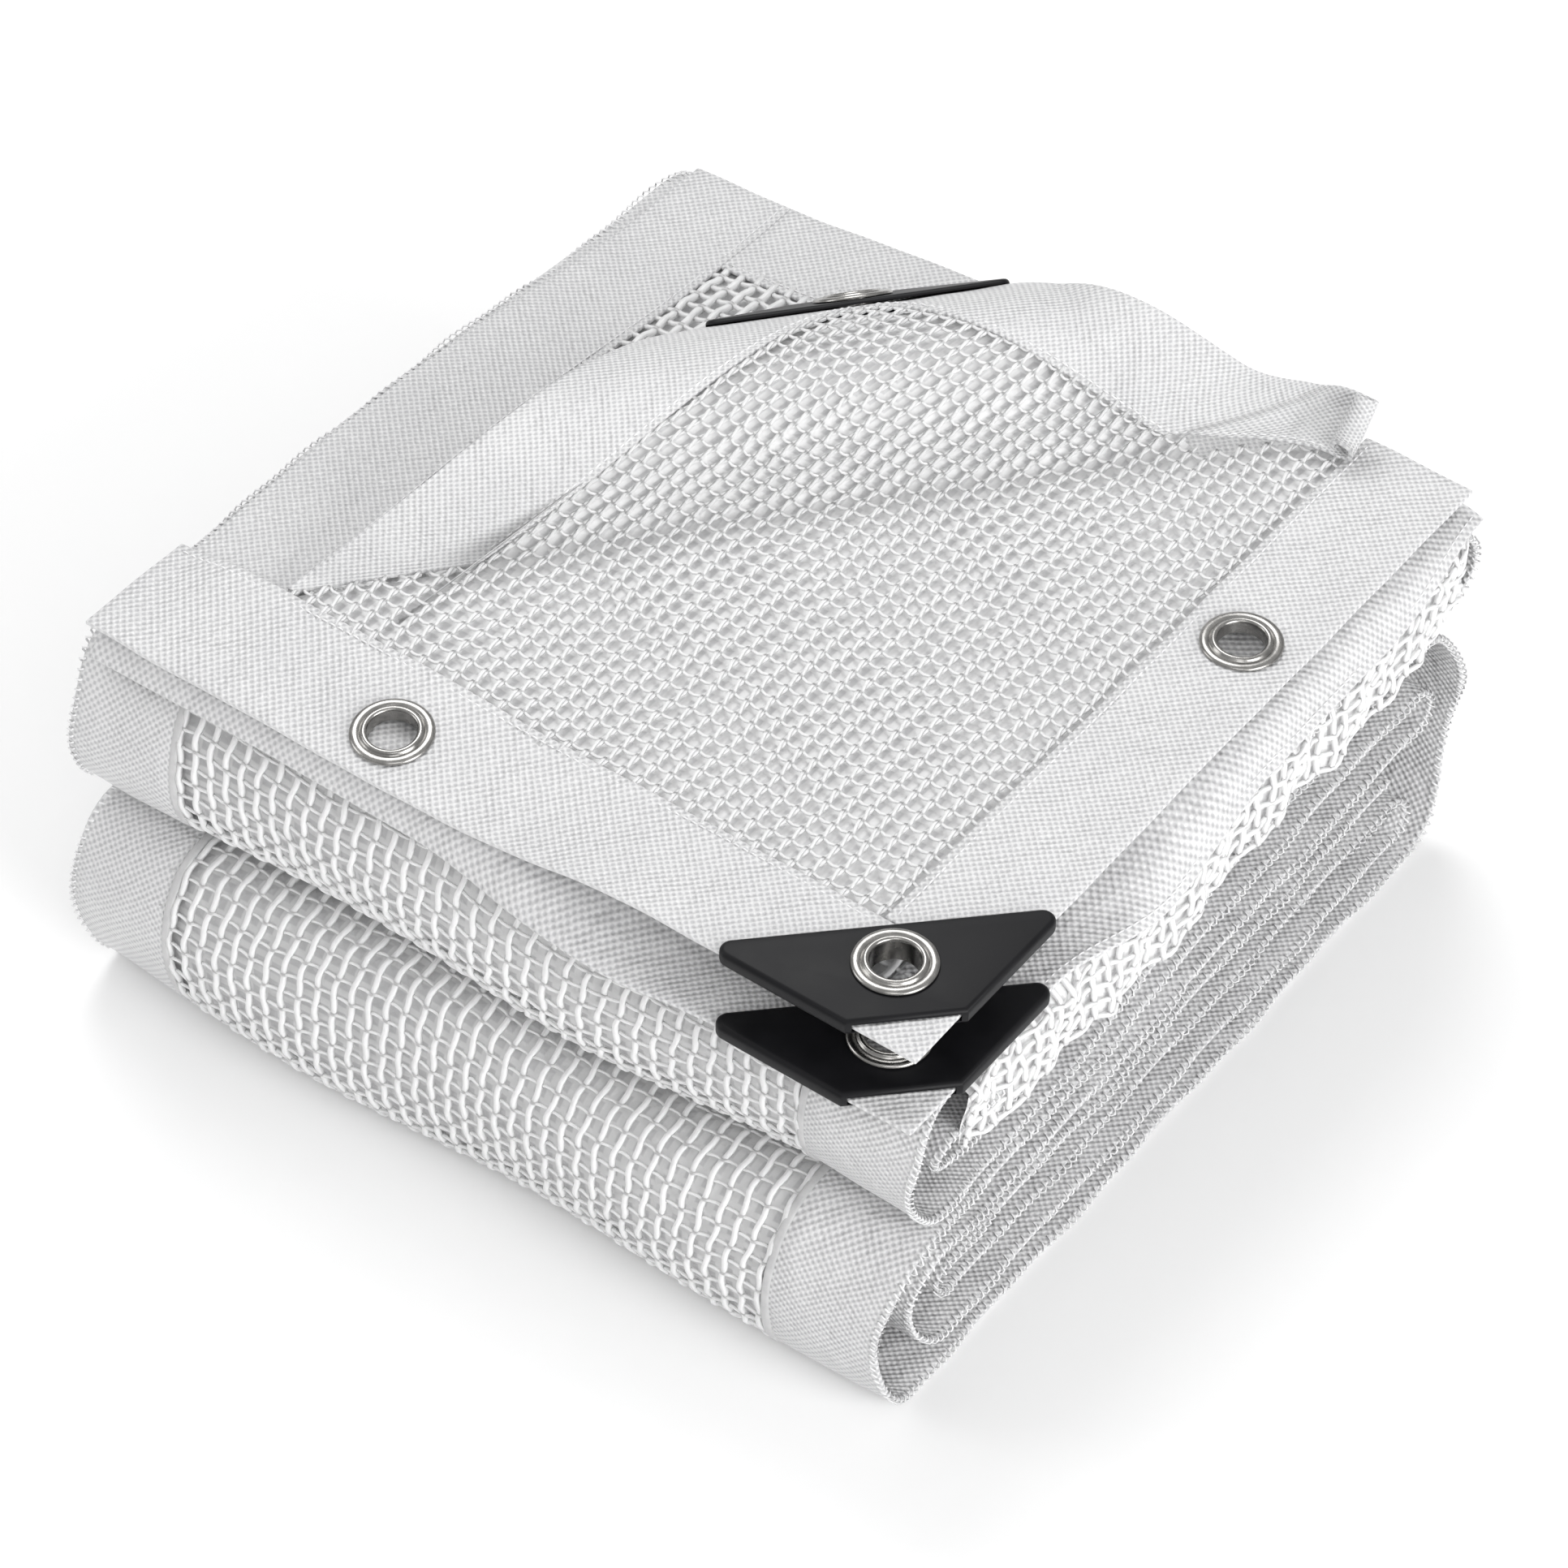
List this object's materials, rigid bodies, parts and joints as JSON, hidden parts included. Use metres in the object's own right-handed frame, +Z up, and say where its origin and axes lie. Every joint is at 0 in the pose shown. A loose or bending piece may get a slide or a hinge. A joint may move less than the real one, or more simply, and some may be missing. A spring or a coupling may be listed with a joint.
{
  "type": "folded shade cloth",
  "caption": "Folded square stack of white mesh shade cloth with woven binding, black plastic corner guards and metal eyelets, one top corner standing up and curling over.",
  "frame": {"origin": "centre of the footprint, at the underside", "axes": "+Z up off the floor, -Y toward the rounded front folds, +X toward the end with the two stacked corner guards"},
  "size_m": [0.3126, 0.3204, 0.1892],
  "materials": {
    "net": "white open leno net of plastic yarn, satin",
    "binding": "white plain-woven plastic tape, slightly glossy",
    "guard": "near-black satin moulded plastic",
    "eyelet": "satin nickel-plated steel"
  },
  "bodies": {
    "root": {"stack_net_low": "net", "stack_net_middle": "net", "stack_net_top": "net", "stack_binding_left_low": "binding", "stack_binding_left_middle": "binding", "stack_binding_left_top": "binding", "stack_binding_right_low": "binding", "stack_binding_right_middle": "binding", "stack_binding_right_top": "binding", "lower_net": "net", "lower_binding_front": "binding", "lower_binding_back": "binding", "lower_binding_left": "binding", "lower_binding_right": "binding", "upper_net": "net", "upper_binding_front": "binding", "upper_binding_right": "binding", "flap_binding_left": "binding", "flap_binding_back": "binding", "guard_upper": "guard", "guard_lower": "guard", "guard_flap": "guard", "eyelet_front": "eyelet", "eyelet_right": "eyelet", "eyelet_upper_corner": "eyelet", "eyelet_lower_corner": "eyelet", "eyelet_flap_corner": "eyelet"}
  },
  "joints": []
}
